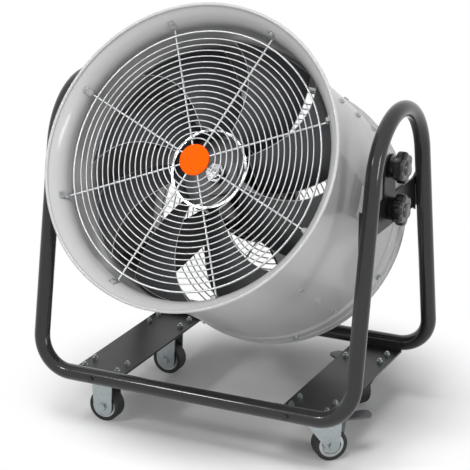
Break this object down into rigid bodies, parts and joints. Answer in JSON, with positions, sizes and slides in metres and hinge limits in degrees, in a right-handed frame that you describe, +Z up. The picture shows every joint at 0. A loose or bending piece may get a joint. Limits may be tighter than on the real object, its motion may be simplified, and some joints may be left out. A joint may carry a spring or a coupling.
{
  "type": "portable drum fan",
  "caption": "Round steel drum fan with a wire guard at each end, tilting between star knobs in a bent tube frame on casters.",
  "frame": {"origin": "on the floor under the middle of the tube frame", "axes": "+X to the fan's right seen from the front, +Y to the back, +Z up"},
  "size_m": [0.8612, 0.8518, 1.0436],
  "materials": {
    "frame_paint": "satin",
    "plate_paint": "satin",
    "zinc": "satin",
    "knob_plastic": "matte",
    "tyre_rubber": "matte",
    "wheel_core": "satin",
    "pedal_paint": "satin",
    "drum_paint": "satin",
    "guard_wire": "gloss",
    "badge_plastic": "gloss",
    "blade_paint": "satin",
    "hub_metal": "gloss",
    "shaft_steel": "satin",
    "motor_paint": "satin",
    "winding": "matte",
    "box_plastic": "matte"
  },
  "bodies": {
    "frame": {"caster_bolts": "zinc", "caster_nuts": "zinc", "front_rail": "frame_paint", "knob_studs": "zinc", "left_cross_plate": "plate_paint", "left_hoop": "frame_paint", "left_pivot_plate": "plate_paint", "rail_screws": "zinc", "rear_rail": "frame_paint", "right_cross_plate": "plate_paint", "right_hoop": "frame_paint", "right_pivot_plate": "plate_paint", "rigid_axles": "zinc", "rigid_fork_front": "zinc", "rigid_fork_rear": "zinc", "swivel_plate_front": "zinc", "swivel_plate_rear": "zinc"},
    "drum": {"drum_shell": "drum_paint", "front_guard": "guard_wire", "rear_guard": "guard_wire", "badge": "badge_plastic", "front_guard_bolts": "zinc", "rear_guard_screws": "zinc", "left_drum_bracket": "drum_paint", "right_drum_bracket": "drum_paint", "drum_bolts": "zinc", "motor_housing": "motor_paint", "motor_front_cap": "motor_paint", "motor_rear_cap": "motor_paint", "stator": "winding", "motor_bearings": "shaft_steel", "motor_mount": "motor_paint", "terminal_box": "box_plastic", "cable_gland": "box_plastic"},
    "impeller": {"impeller_hub": "hub_metal", "impeller_blades": "blade_paint", "clamp_disc": "hub_metal", "shaft_nut": "zinc", "motor_shaft": "shaft_steel", "rotor": "winding"},
    "front_fork": {"swivel_fork_front": "zinc", "swivel_axle_front": "zinc", "brake_pin_front": "zinc"},
    "rear_fork": {"swivel_fork_rear": "zinc", "swivel_axle_rear": "zinc", "brake_pin_rear": "zinc"},
    "front_pedal": {"brake_pedal_front": "pedal_paint"},
    "rear_pedal": {"brake_pedal_rear": "pedal_paint"},
    "left_front_wheel": {"tyre_left_front": "tyre_rubber", "wheel_core_left_front": "wheel_core"},
    "left_rear_wheel": {"tyre_left_rear": "tyre_rubber", "wheel_core_left_rear": "wheel_core"},
    "left_pivot_knob": {"left_pivot_knob": "knob_plastic"},
    "left_clamp_knob": {"left_clamp_knob": "knob_plastic"},
    "right_front_wheel": {"tyre_right_front": "tyre_rubber", "wheel_core_right_front": "wheel_core"},
    "right_rear_wheel": {"tyre_right_rear": "tyre_rubber", "wheel_core_right_rear": "wheel_core"},
    "right_pivot_knob": {"right_pivot_knob": "knob_plastic"},
    "right_clamp_knob": {"right_clamp_knob": "knob_plastic"}
  },
  "joints": [
    {"name": "drum_tilt", "type": "hinge", "parent": "frame", "child": "drum", "pos_m": [0, 0, 0.586], "axis": [-1, 0, 0], "range_deg": [-59.2, 60.8]},
    {"name": "impeller_spin", "type": "hinge", "parent": "drum", "child": "impeller", "pos_m": [0, 0, 0.586], "axis": [0, 0.8729, -0.4879], "continuous": true},
    {"name": "front_swivel", "type": "hinge", "parent": "frame", "child": "front_fork", "pos_m": [0.275, -0.166, 0.118], "axis": [0, 0, 1], "continuous": true},
    {"name": "right_front_wheel_spin", "type": "hinge", "parent": "front_fork", "child": "right_front_wheel", "pos_m": [0.30425, -0.13872, 0.04], "axis": [-0.682, 0.7314, 0], "continuous": true},
    {"name": "left_front_wheel_spin", "type": "hinge", "parent": "frame", "child": "left_front_wheel", "pos_m": [-0.275, -0.166, 0.04], "axis": [0, 1, 0], "continuous": true},
    {"name": "front_brake", "type": "hinge", "parent": "front_fork", "child": "front_pedal", "pos_m": [0.30864, -0.13463, 0.1], "axis": [0.682, -0.7314, 0], "range_deg": [0, 16]},
    {"name": "rear_swivel", "type": "hinge", "parent": "frame", "child": "rear_fork", "pos_m": [0.275, 0.166, 0.118], "axis": [0, 0, 1], "continuous": true},
    {"name": "right_rear_wheel_spin", "type": "hinge", "parent": "rear_fork", "child": "right_rear_wheel", "pos_m": [0.24184, 0.18837, 0.04], "axis": [-0.5592, -0.829, 0], "continuous": true},
    {"name": "left_rear_wheel_spin", "type": "hinge", "parent": "frame", "child": "left_rear_wheel", "pos_m": [-0.275, 0.166, 0.04], "axis": [0, 1, 0], "continuous": true},
    {"name": "rear_brake", "type": "hinge", "parent": "rear_fork", "child": "rear_pedal", "pos_m": [0.23686, 0.19172, 0.1], "axis": [0.5592, 0.829, 0], "range_deg": [0, 16]},
    {"name": "left_pivot_knob_turn", "type": "hinge", "parent": "frame", "child": "left_pivot_knob", "pos_m": [-0.407, 0, 0.586], "axis": [1, 0, 0], "continuous": true},
    {"name": "left_clamp_knob_turn", "type": "hinge", "parent": "frame", "child": "left_clamp_knob", "pos_m": [-0.407, 0, 0.686], "axis": [1, 0, 0], "continuous": true},
    {"name": "right_pivot_knob_turn", "type": "hinge", "parent": "frame", "child": "right_pivot_knob", "pos_m": [0.407, 0, 0.586], "axis": [1, 0, 0], "continuous": true},
    {"name": "right_clamp_knob_turn", "type": "hinge", "parent": "frame", "child": "right_clamp_knob", "pos_m": [0.407, 0, 0.686], "axis": [1, 0, 0], "continuous": true}
  ]
}
